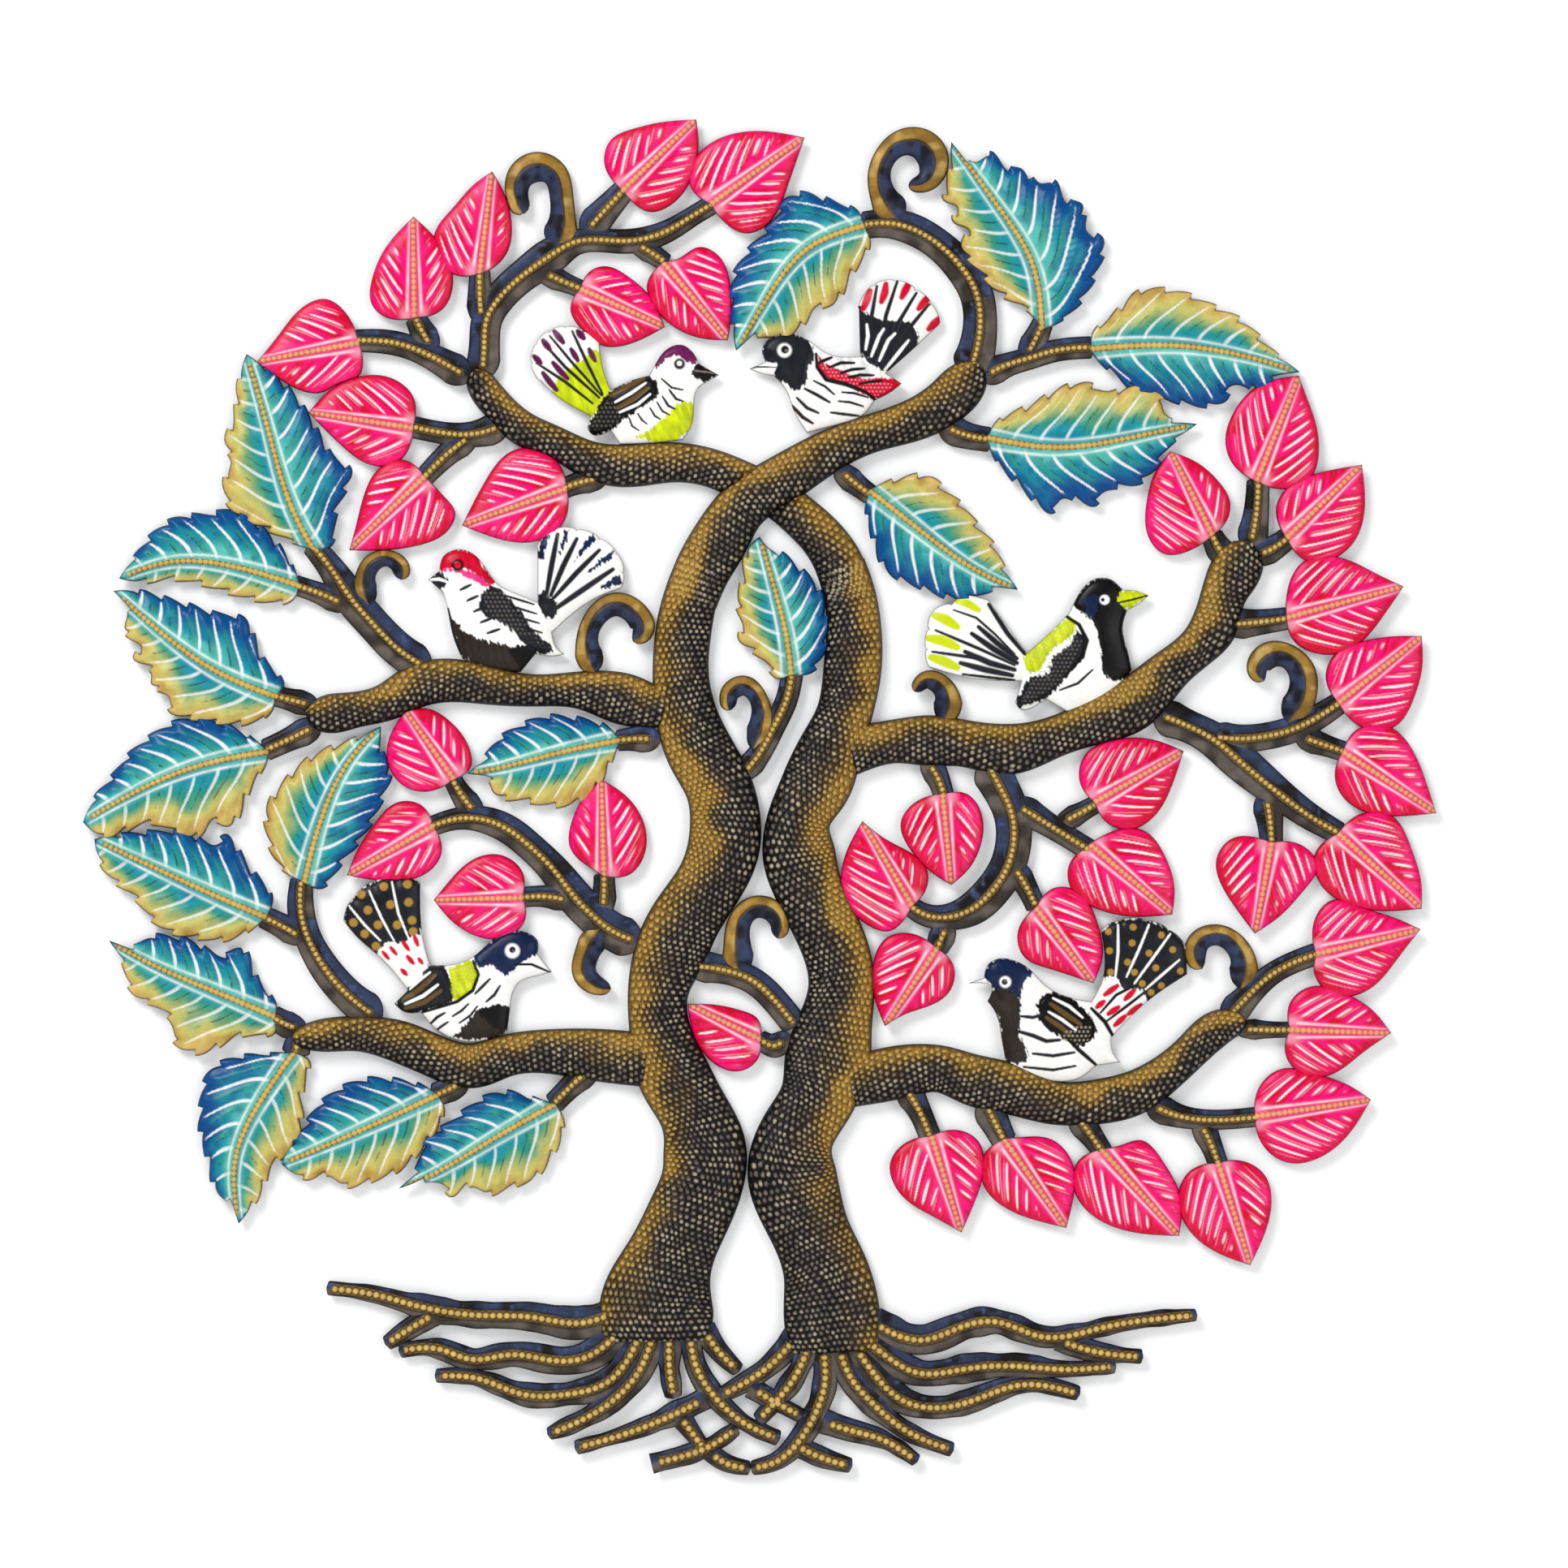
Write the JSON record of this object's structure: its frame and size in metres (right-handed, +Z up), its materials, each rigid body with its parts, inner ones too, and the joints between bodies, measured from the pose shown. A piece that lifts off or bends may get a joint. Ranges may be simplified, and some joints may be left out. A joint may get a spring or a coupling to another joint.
{
  "type": "tree of life wall hanging",
  "caption": "Round openwork tree of life wall hanging in hammered, hand-painted sheet steel, with twined trunks, heart and toothed leaves, curls, roots and songbirds.",
  "frame": {"origin": "the point on the wall plane where the nail carries the piece, in the gap beside the left trunk just below the crossing of the trunks", "axes": "+Z up the wall, +X to the viewer's right, -Y out of the painted face; the wall is the plane y = 0"},
  "size_m": [0.6, 0.0087, 0.6013],
  "materials": {
    "bark": "near-black brown with gold dry-brush over hammered punch marks, satin",
    "twig": "slate blue and taupe with a gold bead line, satin",
    "scroll": "ochre gold over slate, satin",
    "root": "slate and taupe with gold bead lines, satin",
    "pink_leaf": "hot pink to crimson with white veins and an orange beaded midrib, glossy lacquer",
    "teal_leaf": "turquoise shading to deep blue and yellow gold, white veins, glossy lacquer",
    "bird": "white with black, navy, crimson, plum and lime markings, glossy lacquer"
  },
  "bodies": {
    "root": {"bird_low_left": "bird", "bird_low_right": "bird", "bird_mid_left": "bird", "bird_mid_right": "bird", "bird_top_left": "bird", "bird_top_right": "bird", "limb_low_left": "bark", "limb_low_right": "bark", "limb_mid_left": "bark", "limb_mid_right": "bark", "limb_top_left": "bark", "limb_top_right": "bark", "pink_leaves_centre_left": "pink_leaf", "pink_leaves_centre_right": "pink_leaf", "pink_leaves_low_right": "pink_leaf", "pink_leaves_right": "pink_leaf", "pink_leaves_top": "pink_leaf", "pink_leaves_top_left": "pink_leaf", "roots_centre": "root", "roots_left": "root", "roots_right": "root", "scrolls_low": "scroll", "scrolls_mid": "scroll", "scrolls_top": "scroll", "teal_leaf_centre": "teal_leaf", "teal_leaf_centre_left": "teal_leaf", "teal_leaf_left_base": "teal_leaf", "teal_leaf_left_far": "teal_leaf", "teal_leaf_left_low": "teal_leaf", "teal_leaf_left_lower": "teal_leaf", "teal_leaf_left_mid": "teal_leaf", "teal_leaf_left_outer": "teal_leaf", "teal_leaf_left_upper": "teal_leaf", "teal_leaf_low_centre": "teal_leaf", "teal_leaf_low_left": "teal_leaf", "teal_leaf_right_inner": "teal_leaf", "teal_leaf_right_lower": "teal_leaf", "teal_leaf_right_upper": "teal_leaf", "teal_leaf_top": "teal_leaf", "teal_leaf_top_right": "teal_leaf", "teal_leaf_under_limb": "teal_leaf", "trunk_left": "bark", "trunk_right": "bark", "twigs_centre": "twig", "twigs_centre_left": "twig", "twigs_centre_right": "twig", "twigs_left_upper": "twig", "twigs_low_left": "twig", "twigs_low_right": "twig", "twigs_mid_left": "twig", "twigs_mid_right": "twig", "twigs_top_left": "twig", "twigs_top_right": "twig"}
  },
  "joints": []
}
